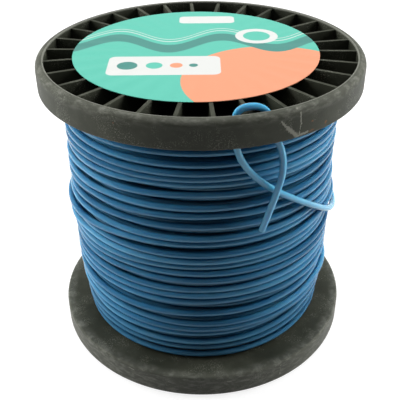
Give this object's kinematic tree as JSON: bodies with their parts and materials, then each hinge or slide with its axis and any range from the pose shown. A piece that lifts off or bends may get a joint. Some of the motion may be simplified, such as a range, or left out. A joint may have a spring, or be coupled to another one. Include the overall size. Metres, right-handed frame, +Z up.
{
  "type": "trimmer line spool",
  "caption": "Round plastic spool with ribbed flanges, wound full of thick nylon cutting line whose free end is tied over a rib of the upper flange.",
  "frame": {"origin": "on the spool's axis, at the floor that the lower flange's rim stands on", "axes": "+Z up along the spool's axis, -Y towards the side with the tied line end, +X to the right of it"},
  "size_m": [0.14, 0.14, 0.1407],
  "materials": {
    "spool_plastic": "moulded, matt, scuffed charcoal",
    "nylon_line": "smooth translucent blue nylon",
    "label_print": "printed satin film"
  },
  "bodies": {
    "root": {"bottom_flange": "spool_plastic", "top_flange": "spool_plastic", "barrel": "spool_plastic", "winding_core": "nylon_line", "line_winding": "nylon_line", "line_tail": "nylon_line", "line_start": "nylon_line", "top_label": "label_print"}
  },
  "joints": []
}
